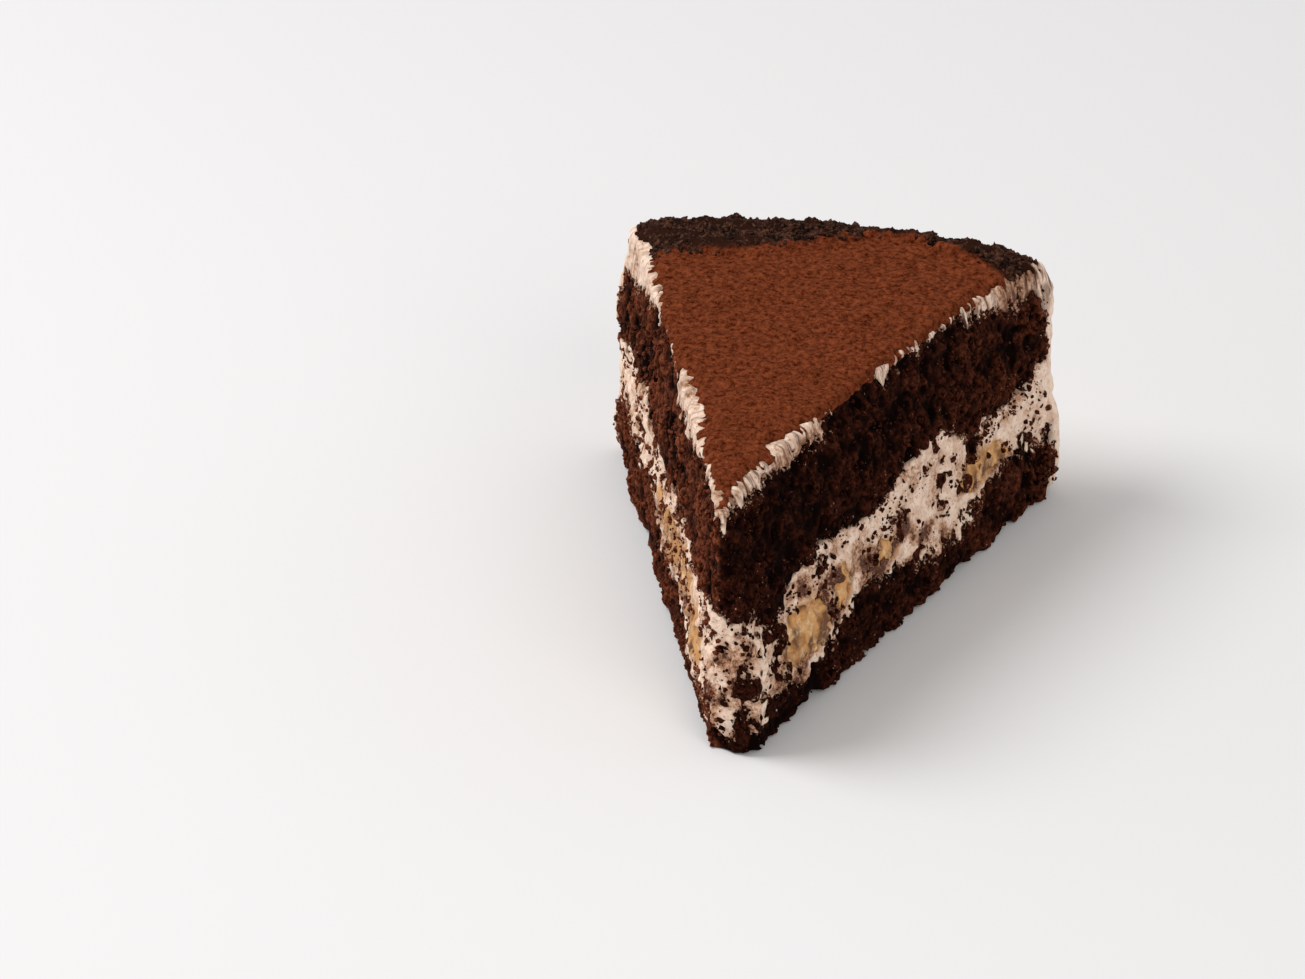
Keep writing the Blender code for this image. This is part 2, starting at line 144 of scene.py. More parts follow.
# How much the faces are merged where a surface is flat, and how high the base is over the floor.
MERGING = 0.02
BASE_HEIGHT = 0.03

# Sizes in the patterns of the materials. The walls of a sponge's crumb, grains of cocoa and the
# fibres of banana are under 0.3 mm, too fine to show, so they are drawn coarser, as the clumps
# and streaks that they make. Tones and smears have their real size.
SPONGE_GRAIN, CREAM_ON_SPONGE = 0.9, 0.6
CREAM_TONE, CREAM_STREAK, CREAM_FLECK = 2.4, 0.9, 0.7
COCOA_MOTTLE = 1.1
CRUST_GRAIN = 1.2
BANANA_FIBRE, BANANA_SMEAR = 1.1, 3.2

# How wide the rim of bare crumbs is, from the left cut face at 0 to the right one at 100.
CRUMB_RIM = ((0, 17.5), (22, 16), (36, 14), (43, 11), (50, 7.5), (60, 4.5), (69, 2.8), (76, 5.7),
             (85, 7.0), (100, 11))

# Each list below gives soft patches on the skin: side, middle (s, z), half length, half height
# and strength. On the front, s is the place across the blunt tip. First, where the cream is
# thicker (above 0) or thinner than in the solids.
CREAM_CHANGES = (
    ("right", 49.0, 48.5, 10.0, 3.5, -1.3),
    ("right", 10.0, 48.0, 6.0, 3.0, 0.5),
    ("right", 92.0, 28.0, 1.8, 1.6, 2.0),
    ("right", 101.0, 28.5, 2.4, 1.4, 1.8),
    ("right", 88.0, 22.0, 2.6, 5.0, -1.6),
    ("right", 78.0, 48.0, 18.0, 3.5, -0.5),
    ("right", 110.0, 47.0, 14.0, 4.0, 0.2),
    ("left", 70.0, 48.0, 8.0, 3.0, -0.6),
    ("left", 38.0, 47.5, 17.0, 4.0, 0.3),
    ("right", 29.0, 48.0, 13.0, 4.5, -0.3),
    ("left", 112.0, 45.0, 10.0, 6.0, 0.3),
    ("left", 40.0, 20.0, 40.0, 8.0, 0.8),
    ("right", 71.0, 34.0, 14.0, 4.0, -1.3),
    ("right", 43.0, 29.0, 10.0, 3.0, -0.8),
    ("right", 102.0, 29.0, 9.0, 2.5, -1.0),
    ("right", 27.0, 4.0, 7.0, 4.0, -0.9),
    ("front", 1.2, 5.5, 2.0, 3.8, 2.4),
    ("front", 0.2, 14.5, 2.0, 2.8, 1.6),
    ("front", 0.7, 24.0, 2.2, 3.0, 1.6),
    ("front", 4.0, 10.5, 2.6, 1.4, 1.2),
)

# Where the cream is stained brown.
STAINS = (
    ("right", 44.0, 20.5, 10.0, 4.0, 0.7),
    ("right", 51.0, 14.5, 11.0, 4.5, 0.85),
    ("right", 60.0, 18.0, 5.0, 7.0, 0.7),
    ("right", 67.0, 12.0, 10.0, 5.0, 0.6),
    ("right", 80.0, 16.0, 8.0, 9.0, 0.55),
    ("right", 88.0, 18.0, 6.0, 5.0, 0.7),
    ("right", 97.0, 16.0, 9.0, 4.0, 0.6),
    ("right", 33.0, 18.0, 7.0, 6.0, 0.8),
    ("right", 25.0, 24.0, 9.0, 3.0, 0.6),
    ("right", 16.0, 12.0, 9.0, 10.0, 0.7),
    ("right", 103.0, 25.0, 8.0, 3.0, 0.4),
    ("front", 3.0, 12.0, 7.0, 16.0, 0.6),
    ("front", 0.3, 24.8, 2.4, 2.8, -0.8),
    ("front", -0.1, 14.6, 2.4, 2.8, -0.8),
    ("front", 1.2, 6.0, 2.4, 4.2, -0.8),
    ("front", -2.8, 22.0, 1.8, 7.0, -0.6),
    ("left", 6.0, 12.0, 6.0, 10.0, 0.5),
    ("left", 50.0, 15.0, 34.0, 4.0, 0.6),
    ("left", 92.0, 21.0, 12.0, 4.0, 0.4),
    ("right", 30.0, 46.5, 12.0, 4.0, 0.45),
    ("right", 8.0, 46.0, 8.0, 4.0, 0.9),
    ("right", 108.0, 47.0, 14.0, 6.0, 0.35),
)

# Where fruit tints the cream, besides the cream right next to it.
FRUIT_TINTS = (
    ("right", 64.0, 22.0, 3.5, 4.0, 0.5),
    ("right", 57.0, 16.5, 3.0, 3.0, 0.6),
    ("right", 72.5, 12.5, 3.5, 4.0, 0.5),
    ("right", 83.0, 10.0, 5.0, 4.0, 0.5),
    ("right", 101.0, 28.5, 2.6, 1.6, 0.5),
    ("left", 34.0, 20.0, 30.0, 8.0, 0.9),
    ("front", 1.0, 14.5, 2.5, 4.0, 0.5),
    ("front", 4.0, 20.0, 2.5, 4.0, 0.5),
)

# Where the knife has dragged sponge over the cream, and how much of the cream it hides.
DRAGGED_SPONGE = (
    ("right", 88.0, 24.0, 2.8, 5.5, 1.2),
    ("right", 97.0, 28.5, 5.0, 2.4, 0.9),
    ("right", 106.0, 28.0, 5.0, 2.4, 0.9),
    ("right", 108.0, 15.5, 5.5, 2.6, 1.0),
    ("right", 58.5, 20.5, 4.5, 4.5, 0.7),
    ("right", 63.0, 13.0, 4.5, 4.0, 0.7),
    ("right", 76.0, 22.0, 3.0, 1.8, 1.0),
    ("right", 75.0, 17.0, 6.0, 4.0, 0.55),
    ("right", 69.0, 12.0, 7.0, 3.5, 0.5),
    ("right", 82.0, 17.0, 5.0, 7.0, 0.55),
    ("right", 103.0, 21.0, 4.0, 3.0, 0.4),
    ("right", 31.0, 23.5, 6.0, 3.0, 0.6),
    ("right", 22.0, 22.0, 5.0, 3.0, 0.6),
    ("right", 11.5, 17.5, 5.0, 6.0, 1.3),
    ("right", 17.0, 11.0, 4.0, 4.0, 0.7),
    ("right", 8.0, 6.0, 5.0, 5.0, 0.9),
    ("front", 0.7, 19.5, 2.0, 3.2, 1.3),
    ("front", 4.4, 14.0, 2.2, 2.8, 1.2),
    ("front", 5.4, 5.0, 2.4, 4.5, 1.2),
    ("front", -2.8, 7.0, 2.0, 7.0, 1.3),
    ("front", -2.0, 21.0, 1.2, 3.0, 0.8),
    ("front", 3.0, 13.0, 6.0, 15.0, 0.8),
    ("front", 7.9, 7.5, 2.4, 5.5, 1.3),
    ("front", 0.3, 24.8, 2.0, 2.2, -1.2),
    ("front", -0.1, 14.6, 2.0, 2.4, -1.6),
    ("front", 1.2, 6.0, 2.0, 3.8, -1.9),
    ("right", 6.0, 13.0, 6.0, 12.0, 0.5),
    ("left", 26.0, 25.0, 8.0, 2.0, 0.4),
    ("left", 66.0, 24.0, 8.0, 3.0, 0.5),
    ("left", 90.0, 20.0, 10.0, 3.0, 0.4),
)


def curve(pairs, x):
    """A smooth curve through (place, value) pairs."""
    places, values = np.array(pairs, float).T
    x = np.clip(x, places[0], places[-1])
    i = np.clip(np.searchsorted(places, x) - 1, 0, len(places) - 2)
    u = (x - places[i]) / (places[i + 1] - places[i])
    return values[i] + (values[i + 1] - values[i]) * u * u * (3.0 - 2.0 * u)


def smooth_noise(cell, seed):
    """A random field over the block, with soft lumps about cell across, mostly within 1."""
    rng = np.random.default_rng(seed)
    sizes = np.broadcast_to(cell, 3)
    field = rng.standard_normal([int(span / size) + 6 for span, size in zip(SPAN, sizes)],
                                np.float32) / SPLINE_SPREAD
    for axis in range(3):
        place = np.arange(SHAPE[axis], dtype=np.float32) * PITCH / sizes[axis]
        first = place.astype(int)
        t = place - first
        spline = ((1 - t) ** 3, 3 * t ** 3 - 6 * t ** 2 + 4, -3 * t ** 3 + 3 * t ** 2 + 3 * t + 1,
                  t ** 3)
        form = [-1 if axis == other else 1 for other in range(3)]
        field = sum(np.take(field, first + k, axis) * (weight / 6.0).reshape(form)
                    for k, weight in enumerate(spline))
    return field


def noises(*layers):
    """Smooth noise of several sizes together. Each is its depth, the size of its lumps and a
    seed."""
    return sum(depth * smooth_noise(cell, seed) for depth, cell, seed in layers)


def blur(field, width):
    """The field, softened over a width."""
    reach = int(math.ceil(2.5 * width / PITCH))
    offsets = np.arange(-reach, reach + 1) * PITCH
    kernel = np.exp(-0.5 * (offsets / width) ** 2)
    kernel = (kernel / kernel.sum()).astype(np.float32)
    for axis in range(3):
        edges = [(reach, reach) if axis == other else (0, 0) for other in range(3)]
        padded = np.moveaxis(np.pad(field, edges, mode="edge"), axis, 0)
        count = field.shape[axis]
        field = np.moveaxis(sum(k * padded[i:i + count] for i, k in enumerate(kernel)), 0, axis)
    return np.ascontiguousarray(field)


def triangles_of(mesh):
    """A mesh's points, in millimetres, and its triangles."""
    mesh.calc_loop_triangles()
    points = np.empty(3 * len(mesh.vertices), np.float32)
    mesh.vertices.foreach_get("co", points)
    corners = np.empty(3 * len(mesh.loop_triangles), np.int32)
    mesh.loop_triangles.foreach_get("vertices", corners)
    return points.reshape(-1, 3) / MM, corners.reshape(-1, 3)


def distance_field(points, triangles=None, quads=None):
    """Distance from every cell to a closed mesh, below 0 inside."""
    width = BAND / PITCH
    grid = vdb.FloatGrid.createLevelSetFromPolygons(
        (points - LOW).astype(np.float32), triangles=triangles, quads=quads,
        transform=vdb.createLinearTransform(PITCH), exBandWidth=width, inBandWidth=width)
    field = np.full(SHAPE, BAND, np.float32)
    grid.copyToArray(field)
    return field


def distance_to(node):
    """Distance from every cell to a solid of the frame, below 0 inside."""
    points, corners = triangles_of(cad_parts[node].data)
    return distance_field(points, triangles=corners.astype(np.uint32))


def level_mesh(field, level=0.0, merging=0.0):
    """The closed surface where the field has a value: its points, triangles and quads. Where the
    surface is flat, merging above 0 makes fewer faces."""
    reach = 2.0 * PITCH
    grid = vdb.FloatGrid(reach)
    grid.copyFromArray(np.clip(field - level, -reach, reach).astype(np.float32))
    points, triangles, quads = grid.convertToPolygons(0.0, merging)
    return points * PITCH + LOW, triangles, quads


def outline_of(field):
    """Distance to the outside of many solids together, with the gaps between them closed."""
    points, triangles, quads = level_mesh(field, CLOSED_GAP)
    return distance_field(points, triangles.astype(np.uint32), quads.astype(np.uint32)) + CLOSED_GAP


def sample(field, points):
    """The field's values at points, between the cells."""
    place = np.clip((points - LOW) / PITCH, 0.0, np.array(SHAPE) - 1.001)
    first = place.astype(int)
    t = place - first
    total = np.zeros(len(points))
    for i in (0, 1):
        for j in (0, 1):
            for k in (0, 1):
                share = ((t[:, 0] if i else 1 - t[:, 0]) * (t[:, 1] if j else 1 - t[:, 1])
                         * (t[:, 2] if k else 1 - t[:, 2]))
                total += share * field[first[:, 0] + i, first[:, 1] + j, first[:, 2] + k]
    return total


def slope(field, points):
    """The direction in which the field grows at points."""
    steps = np.eye(3) * PITCH
    grown = np.stack([sample(field, points + d) - sample(field, points - d) for d in steps], 1)
    return grown / np.maximum(np.linalg.norm(grown, axis=1, keepdims=True), 1e-6)


def face_directions(side):
    """Along a cut face, away from the tip, and out of it. The front is the blunt tip."""
    if side == "front":
        return np.array((1.0, 0.0, 0.0)), np.array((0.0, -1.0, 0.0))
    sign = -1.0 if side == "left" else 1.0
    along = np.array((sign * math.sin(HALF_ANGLE), math.cos(HALF_ANGLE), 0.0))
    outward = np.array((sign * math.cos(HALF_ANGLE), -math.sin(HALF_ANGLE), 0.0))
    return along, outward


def on_face(side, s, z):
    """The points of the slice's skin at places (s, z) on a side."""
    along, outward = face_directions(side)
    s, z = np.broadcast_arrays(np.asarray(s, float), np.asarray(z, float))
    start = TIP + s[..., None] * along + z[..., None] * np.array((0.0, 0.0, 1.0))
    depth = np.full(s.shape, DEEPEST)
    for out in np.arange(HIGHEST, DEEPEST, -STEP):
        inside = sample(skin, start + out * outward) < 0.0
        depth = np.where(inside & (depth == DEEPEST), out, depth)
    return start + depth[..., None] * outward


def stamp(field, centre, sizes, turn):
    """Adds one small uneven ball to a field of distances."""
    reach = np.max(sizes) + 1.0
    first = np.maximum(((centre - reach - LOW) / PITCH).astype(int), 0)
    last = np.minimum(((centre + reach - LOW) / PITCH).astype(int) + 2, SHAPE)
    if np.any(first >= last):
        return
    box = tuple(slice(a, b) for a, b in zip(first, last))
    away = [grid[tuple(box[k] if k == axis else slice(None) for k in range(3))] - centre[axis]
            for axis, grid in enumerate((X, Y, Z))]
    turned = [sum(turn[row][axis] * away[axis] for axis in range(3)) / sizes[row]
              for row in range(3)]
    distance = (np.sqrt(sum(part ** 2 for part in turned)) - 1.0) * np.min(sizes)
    field[box] = np.minimum(field[box], distance)


def turns(rng, count):
    """Random turns, as matrices, from random quaternions."""
    q = rng.standard_normal((count, 4))
    w, x, y, z = (q / np.linalg.norm(q, axis=1, keepdims=True)).T
    return np.stack((1 - 2 * (y * y + z * z), 2 * (x * y - z * w), 2 * (x * z + y * w),
                     2 * (x * y + z * w), 1 - 2 * (x * x + z * z), 2 * (y * z - x * w),
                     2 * (x * z - y * w), 2 * (y * z + x * w), 1 - 2 * (x * x + y * y)),
                    1).reshape(count, 3, 3)


def make_mesh(name, points, faces):
    """A smooth-shaded object from points in millimetres and lists of triangles and quads."""
    mesh = bpy.data.meshes.new(name)
    mesh.vertices.add(len(points))
    mesh.vertices.foreach_set("co", (points * MM).astype(np.float32).ravel())
    corners = np.concatenate([part.ravel() for part in faces]).astype(np.int32)
    counts = np.concatenate([np.full(len(part), part.shape[1]) for part in faces])
    mesh.loops.add(len(corners))
    mesh.loops.foreach_set("vertex_index", corners)
    mesh.polygons.add(len(counts))
    starts = np.concatenate(([0], np.cumsum(counts)[:-1])).astype(np.int32)
    mesh.polygons.foreach_set("loop_start", starts)
    mesh.update(calc_edges=True)
    mesh.shade_smooth()
    piece = bpy.data.objects.new(name, mesh)
    bpy.context.scene.collection.objects.link(piece)
    return piece


def surface_piece(name, field, traits):
    """The closed surface where the field is 0, with values for its material at each point."""
    points, triangles, quads = level_mesh(field, merging=MERGING)
    piece = make_mesh(name, points, [triangles, quads])
    give_traits(piece, {trait: sample(values, points) for trait, values in traits.items()})
    return piece


def give_traits(piece, traits):
    """Stores a value at each point of the piece, for its material."""
    for trait, values in traits.items():
        attribute = piece.data.attributes.new(trait, "FLOAT", "POINT")
        attribute.data.foreach_set("value", np.asarray(values, np.float32))


def settle_piece(piece, material, slot, *nodes):
    """The piece gets its material, rides with the slice and stands for the solids it replaces."""
    piece.data.materials.append(material)
    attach(piece, "root")
    if nodes:
        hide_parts(*nodes)


# The slice's outline and its layers.
bananas = sorted(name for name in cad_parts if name.startswith("banana"))
nearest = {
    "cocoa": distance_to("cocoa_top"),
    "coat": distance_to("cream_coat"),
    "upper": distance_to("sponge_upper"),
    "filling": distance_to("filling_cream"),
    "lower": distance_to("sponge_lower"),
}
nearest["banana"] = distance_to(bananas[0])
for name in bananas[1:]:
    np.minimum(nearest["banana"], distance_to(name), out=nearest["banana"])
skin = blur(outline_of(np.minimum.reduce(list(nearest.values()))), SKIN_BLUR)
near_skin = np.clip(1.0 + skin / BORDER_DEPTH, 0.0, 1.0)

# Each cell's place from the tip, and its share of the way from the left face to the right one.
right_of_tip = X - TIP[0]
behind_tip = Y - TIP[1]
from_tip = np.sqrt(right_of_tip ** 2 + behind_tip ** 2)
share_right = 0.5 + np.arctan2(right_of_tip, behind_tip) / (2.0 * HALF_ANGLE)


def knife_marks(width, seed):
    """Marks that cross a cut face's top edge at right angles, each about width wide."""
    rng = np.random.default_rng(seed)
    knots = np.arange(0.0, MARKS_END, width)
    sides = [np.interp(from_tip, knots, rng.standard_normal(len(knots))) for _ in range(2)]
    return np.where(right_of_tip > 0.0, sides[0], sides[1]).astype(np.float32)


def patches(places, depth=STAIN_DEPTH):
    """A field that is 0 but for soft round patches: side, (s, z), half sizes and strength."""
    total = np.zeros(SHAPE, np.float32)
    for side, s, z, half_s, half_z, amount in places:
        along_face, outward = face_directions(side)
        centre = on_face(side, [s], [z])[0]
        axes = np.array((along_face, (0.0, 0.0, 1.0), outward))
        ball = np.full(SHAPE, BAND, np.float32)
        stamp(ball, centre, np.array((half_s, half_z, depth)), axes)
        total += amount * np.clip(-PATCH_EDGE * ball / min(half_s, half_z, depth), 0.0, 1.0)
    return total


def inside_cut(side):
    """How far each cell is inside a cut face, by the plain wedge."""
    outward = face_directions(side)[1]
    return -(right_of_tip * outward[0] + behind_tip * outward[1])


inside_faces = np.minimum(inside_cut("left"), inside_cut("right"))
near_cut = np.clip((CUT_DEPTH - inside_faces) / CUT_FADE, 0.0, 1.0)
near_top = np.clip((Z - TOP_HEIGHT) / TOP_FADE, 0.0, 1.0)
torn = near_skin * noises((0.45, 2.8, 11), (0.5, 1.3, 12), (0.35, 0.75, 17))
marks = near_skin * near_cut * (0.5 * knife_marks(0.9, 13) + 0.5 * knife_marks(0.45, 14))
changes = patches(CREAM_CHANGES)

# How far each layer gives way at its borders, and its claim on each cell: its distance, shifted.
# A border lies where two claims are the same, so a shift has to count twice to move it that far.
# The shift fades out where the distance is no longer known.
shift = {
    "coat": (marks + THIN_EDGE) * near_cut * near_top + 0.4 * near_cut * torn - changes,
    "filling": near_cut * torn - changes,
    "cocoa": near_cut * (0.4 * marks - COCOA_SPREAD),
    "upper": 0.0,
    "lower": 0.0,
    "banana": 0.15 * near_skin * smooth_noise(1.6, 16),
}
claim = {name: far + 2.0 * shift[name] * np.clip(BAND - far, 0.0, 1.0)
         for name, far in nearest.items()}
fruit_near = nearest["banana"]
by_sponge = np.clip(1.0 - np.minimum(nearest["upper"], nearest["lower"]) / BY_SPONGE, 0.0, 1.0)
by_fruit = np.clip(1.0 - fruit_near / BY_FRUIT, 0.0, 1.0)
del nearest, shift, changes

# Dragged sponge claims the cells near the skin where more pulls it over the cream than holds it.
dragged = (HOLD + HOLD_AT_TOP * near_top + HOLD_INSIDE * (1.0 - near_cut)
           + HOLD_BY_SPONGE * by_sponge + HOLD_BY_FRUIT * by_fruit
           - PULL * patches(DRAGGED_SPONGE))
dragged = dragged - noises((0.6, 2.2, 18), (0.6, 1.0, 19))
claim["dragged"] = np.maximum(DRAGGED_EDGE * dragged, DRAGGED_BACK * (-skin - DRAGGED_DEPTH))
del dragged, by_sponge, by_fruit


def part_of(name):
    """Below 0 where the slice is made of this layer."""
    others = None
    for other in claim:
        if other != name:
            others = claim[other] if others is None else np.minimum(others, claim[other])
    return 0.5 * (claim[name] - others)


# Random places on the skin, each with the layer that shows there.
def skin_places(count, seed):
    """Points spread evenly over the slice's skin, but not under it, and directions out of it."""
    rng = np.random.default_rng(seed)
    corners = []
    for name in sorted(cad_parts):
        points, triangles = triangles_of(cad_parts[name].data)
        corners.append(points[triangles])
    a, b, c = np.moveaxis(np.concatenate(corners).astype(float), 1, 0)
    area = 0.5 * np.linalg.norm(np.cross(b - a, c - a), axis=1)
    chosen = rng.choice(len(area), count, p=area / area.sum())
    u, v = rng.random((2, count, 1))
    flip = u + v > 1.0
    u, v = np.where(flip, 1 - u, u), np.where(flip, 1 - v, v)
    points = a[chosen] + u * (b - a)[chosen] + v * (c - a)[chosen]
    depth = sample(skin, points)
    keep = (depth > -SHALLOW) & (points[:, 2] > OFF_FLOOR)
    points, depth = points[keep], depth[keep]
    normals = slope(skin, points)
    return points - normals * depth[:, None], normals


def layer_at(points):
    """The name of the layer that each point is in."""
    names = sorted(claim)
    claimed = [sample(claim[name], points) for name in names]
    return np.array(names)[np.argmin(claimed, axis=0)]


places, outwards = skin_places(SKIN_PLACES, 21)
owner = layer_at(places)
tip_distance = np.hypot(places[:, 0] - TIP[0], places[:, 1] - TIP[1])
on_side = (tip_distance > RADIUS - 2.0) & (outwards[:, 2] < 0.6)


def balls_at(chosen, sizes, rng):
    """Distance to small uneven balls at the chosen places, which stand out a little."""
    field = np.full(SHAPE, BAND, np.float32)
    turn = turns(rng, len(chosen))
    for number, index in enumerate(chosen):
        size = sizes[number] * rng.uniform(0.65, 1.35, 3)
        centre = places[index] + outwards[index] * PORE_LIFT * sizes[number]
        stamp(field, centre, size, turn[number])
    return field


def sponge_relief():
    """Open crumb: clumps with creases between them, torn pores and finer grains."""
    rng = np.random.default_rng(31)
    sponge = np.flatnonzero((owner == "upper") | (owner == "lower"))
    pores = rng.choice(sponge, PORES, replace=False)
    holes = balls_at(pores, rng.uniform(PORE_SMALL, PORE_LARGE, PORES), rng)
    relief = noises((0.30, 3.2, 32), (0.14, 0.6, 35)) - SPONGE_LIFT
    relief += 0.42 * np.abs(smooth_noise(2.0, 33))
    relief += 0.30 * np.abs(smooth_noise(1.05, 34))
    return np.maximum(skin + relief, -holes)


def cream_relief():
    """Cream that was pulled by the knife: soft folds and a crumbly tear."""
    relief = noises((0.22, 4.5, 41), (0.17, 0.8, 48)) - CREAM_LIFT
    relief += 0.26 * np.abs(smooth_noise(1.6, 42))
    return skin + relief


stand = BASE_HEIGHT - Z
sponge_skin = sponge_relief()
cream_skin = cream_relief()
side_share = np.clip((from_tip - (RADIUS - SIDE_DEPTH)) / SIDE_FADE, 0.0, 1.0)

# The same random places, on the skin with its relief.
sunk = np.where(np.isin(owner, ("upper", "lower", "dragged")), sample(sponge_skin, places),
                np.where(on_side, 0.0, sample(cream_skin, places)))
resting = places - outwards * sunk[:, None]

# The cover is drawn into teeth by the knife at the top edges, and spread smooth on the outer
# side, in low strokes, with a swelling under its rim on the right.
drawn_skin = (skin + 0.13 * knife_marks(1.1, 43) + 0.15 * knife_marks(0.55, 49)
              + 0.10 * smooth_noise(1.0, 50))
spread_skin = skin + noises((0.12, (16.0, 16.0, 1.7), 44), (0.15, 8.0, 45),
                            (0.05, (3.0, 3.0, 0.8), 56))
swelling = (SWELL * np.clip(2.0 * share_right - 0.6, 0.0, 1.0)
            * np.clip(1.0 - np.abs(Z - SWELL_Z) / SWELL_HALF, 0.0, 1.0))
coat_skin = drawn_skin * (1.0 - side_share) + (spread_skin - swelling) * side_share
del drawn_skin, spread_skin, swelling

# What the materials read: how open the crumb is, for painted shade in its pores, how much painted
# shade darkens the sponge, most so on the right near the tip, what stains and tints the cream,
# where its edges are streaked, least so on the left, and where crumbs cover the cocoa.
# Painted shade: the deeper the relief lies under the skin, the darker its pores are painted.
painted_pore_shade = np.clip(0.5 + (sponge_skin - skin) / PORE_SHADE_RELIEF, 0.0, 1.0)
# Painted shade: the sponge is painted darker towards the right face, most near the tip.
painted_right_shade = (np.clip((share_right - PAINTED_SHADE_FROM) / PAINTED_SHADE_FADE, 0.0, 1.0)
        * np.clip(1.1 - 0.5 * from_tip / RADIUS, 0.0, 1.0) * np.ones(SHAPE, np.float32))
stain = np.clip(patches(STAINS) * (0.8 + 0.5 * smooth_noise(2.2, 53))
                + noises((0.14, 3.2, 51), (0.10, 0.9, 54)), 0.0, 1.0)
clean_share = side_share * (1.0 - 0.6 * near_cut)
stain = stain * (1.0 - clean_share) - OUTER_CLEAN * clean_share
fruit = np.clip(patches(FRUIT_TINTS) + TINT_MOST - fruit_near / TINT_WIDTH, 0.0, 1.0)
edge = near_cut * near_top * np.clip(0.4 + share_right, 0.0, 1.0)
rim_edge = RADIUS - curve(CRUMB_RIM, 100.0 * share_right) + 0.8 * smooth_noise(2.5, 52)
bare = np.clip((from_tip - rim_edge) / BARE_FADE + 0.5, 0.0, 1.0).astype(np.float32)


def finish_layer(surface, layer):
    """A layer's own share of the slice, under a surface with its relief."""
    return np.maximum(np.maximum(surface, part_of(layer) - OVERLAP), stand)


def add_layer(name, surface, layer, traits, material, slot, node):
    """Makes a layer's piece, in the place of its solid."""
    piece = surface_piece(name, finish_layer(surface, layer), traits)
    settle_piece(piece, material, slot, node)


# Materials.
def linear(colour):
    """A linear colour from an sRGB hex value."""
    parts = [int(colour[i:i + 2], 16) / 255.0 for i in (1, 3, 5)]
    return (*(p / 12.92 if p <= 0.04045 else ((p + 0.055) / 1.055) ** 2.4 for p in parts), 1.0)


def add(tree, kind, links=(), **settings):
    """Adds a node with its settings. links gives its inputs values or other nodes' outputs."""
    node = tree.nodes.new(kind)
    for name, value in settings.items():
        setattr(node, name, value)
    for socket, value in dict(links).items():
        if isinstance(value, bpy.types.NodeSocket):
            tree.links.new(value, node.inputs[socket])
        else:
            node.inputs[socket].default_value = value
    return node


# The sockets of a Mix node that mixes colours.
FACTOR, FIRST, SECOND, MIXED = 0, 6, 7, 2


def new_material(name, **shader):
    """A material with a Principled shader, its values and the slice's own coordinates."""
    material = bpy.data.materials.new(name)
    material.use_nodes = True
    tree = material.node_tree
    surface = tree.nodes["Principled BSDF"]
    for socket, value in shader.items():
        surface.inputs[socket.replace("_", " ")].default_value = value
    place = add(tree, "ShaderNodeTexCoord").outputs["Object"]
    return material, tree, surface, place


def cocoa_sponge():
    """Cocoa sponge, baked and then torn by the knife: matt open crumb with lighter grains, painted
    shade near black in its pores, painted shade on the right side and flecked with cream where it
    meets the cream.
    Its grains are drawn three times as coarse as the walls of its crumb, so that they show."""
    material, tree, surface, place = new_material("cocoa_sponge", Roughness=0.95,
                                                  Specular_IOR_Level=0.04)
    pore_shading = add(tree, "ShaderNodeAttribute", attribute_name="painted_pore_shade").outputs["Fac"]
    right_shade_share = add(tree, "ShaderNodeAttribute", attribute_name="painted_right_shade").outputs["Fac"]
    smeared = add(tree, "ShaderNodeAttribute", attribute_name="smear").outputs["Fac"]
    grain = add(tree, "ShaderNodeTexNoise", {"Vector": place,
                                             "Scale": 1.0 / (SPONGE_GRAIN * MM),
                                             "Detail": 3.0, "Roughness": 0.75})
    grain_share = add(tree, "ShaderNodeMapRange", {"Value": grain.outputs["Fac"],
                                                   "From Min": 0.38, "From Max": 0.68})
    # The crumb's colour unshaded and with painted shade, mixed by how much painted shade the right
    # side gets.
    dry = add(tree, "ShaderNodeMix", {FACTOR: grain_share.outputs[0], FIRST: linear("#390d03"),
                                      SECOND: linear("#8f5036")}, data_type="RGBA")
    painted_shade_crumb = add(tree, "ShaderNodeMix", {FACTOR: grain_share.outputs[0], FIRST: linear("#0a0100"),
                                      SECOND: linear("#4a2114")}, data_type="RGBA")
    crumb = add(tree, "ShaderNodeMix", {FACTOR: right_shade_share, FIRST: dry.outputs[MIXED],
                                        SECOND: painted_shade_crumb.outputs[MIXED]}, data_type="RGBA")
    # Painted shade, near black, in the deepest pores.
    depth = add(tree, "ShaderNodeMapRange", {"Value": pore_shading, "From Min": 0.4,
                                             "From Max": 0.95})
    pores = add(tree, "ShaderNodeMix", {FACTOR: depth.outputs[0], FIRST: crumb.outputs[MIXED],
                                        SECOND: linear("#0c0201")}, data_type="RGBA")
    fleck = add(tree, "ShaderNodeTexNoise", {"Vector": place,
                                             "Scale": 1.0 / (CREAM_ON_SPONGE * MM),
                                             "Detail": 2.0, "Roughness": 0.6})
    reach = add(tree, "ShaderNodeMath", {0: smeared, 1: 0.26}, operation="MULTIPLY")
    near = add(tree, "ShaderNodeMath", {0: fleck.outputs["Fac"], 1: reach.outputs[0]},
               operation="ADD")
    creamy = add(tree, "ShaderNodeMapRange", {"Value": near.outputs[0], "From Min": 0.73,
                                              "From Max": 0.8, "To Max": 0.8})
    specked = add(tree, "ShaderNodeMix", {FACTOR: creamy.outputs[0], FIRST: pores.outputs[MIXED],
                                          SECOND: linear("#b9947c")}, data_type="RGBA")
    tree.links.new(specked.outputs[MIXED], surface.inputs["Base Color"])
    bump = add(tree, "ShaderNodeBump", {"Height": grain.outputs["Fac"], "Strength": 0.9,
                                        "Distance": 0.5 * MM})
    tree.links.new(bump.outputs["Normal"], surface.inputs["Normal"])
    return material


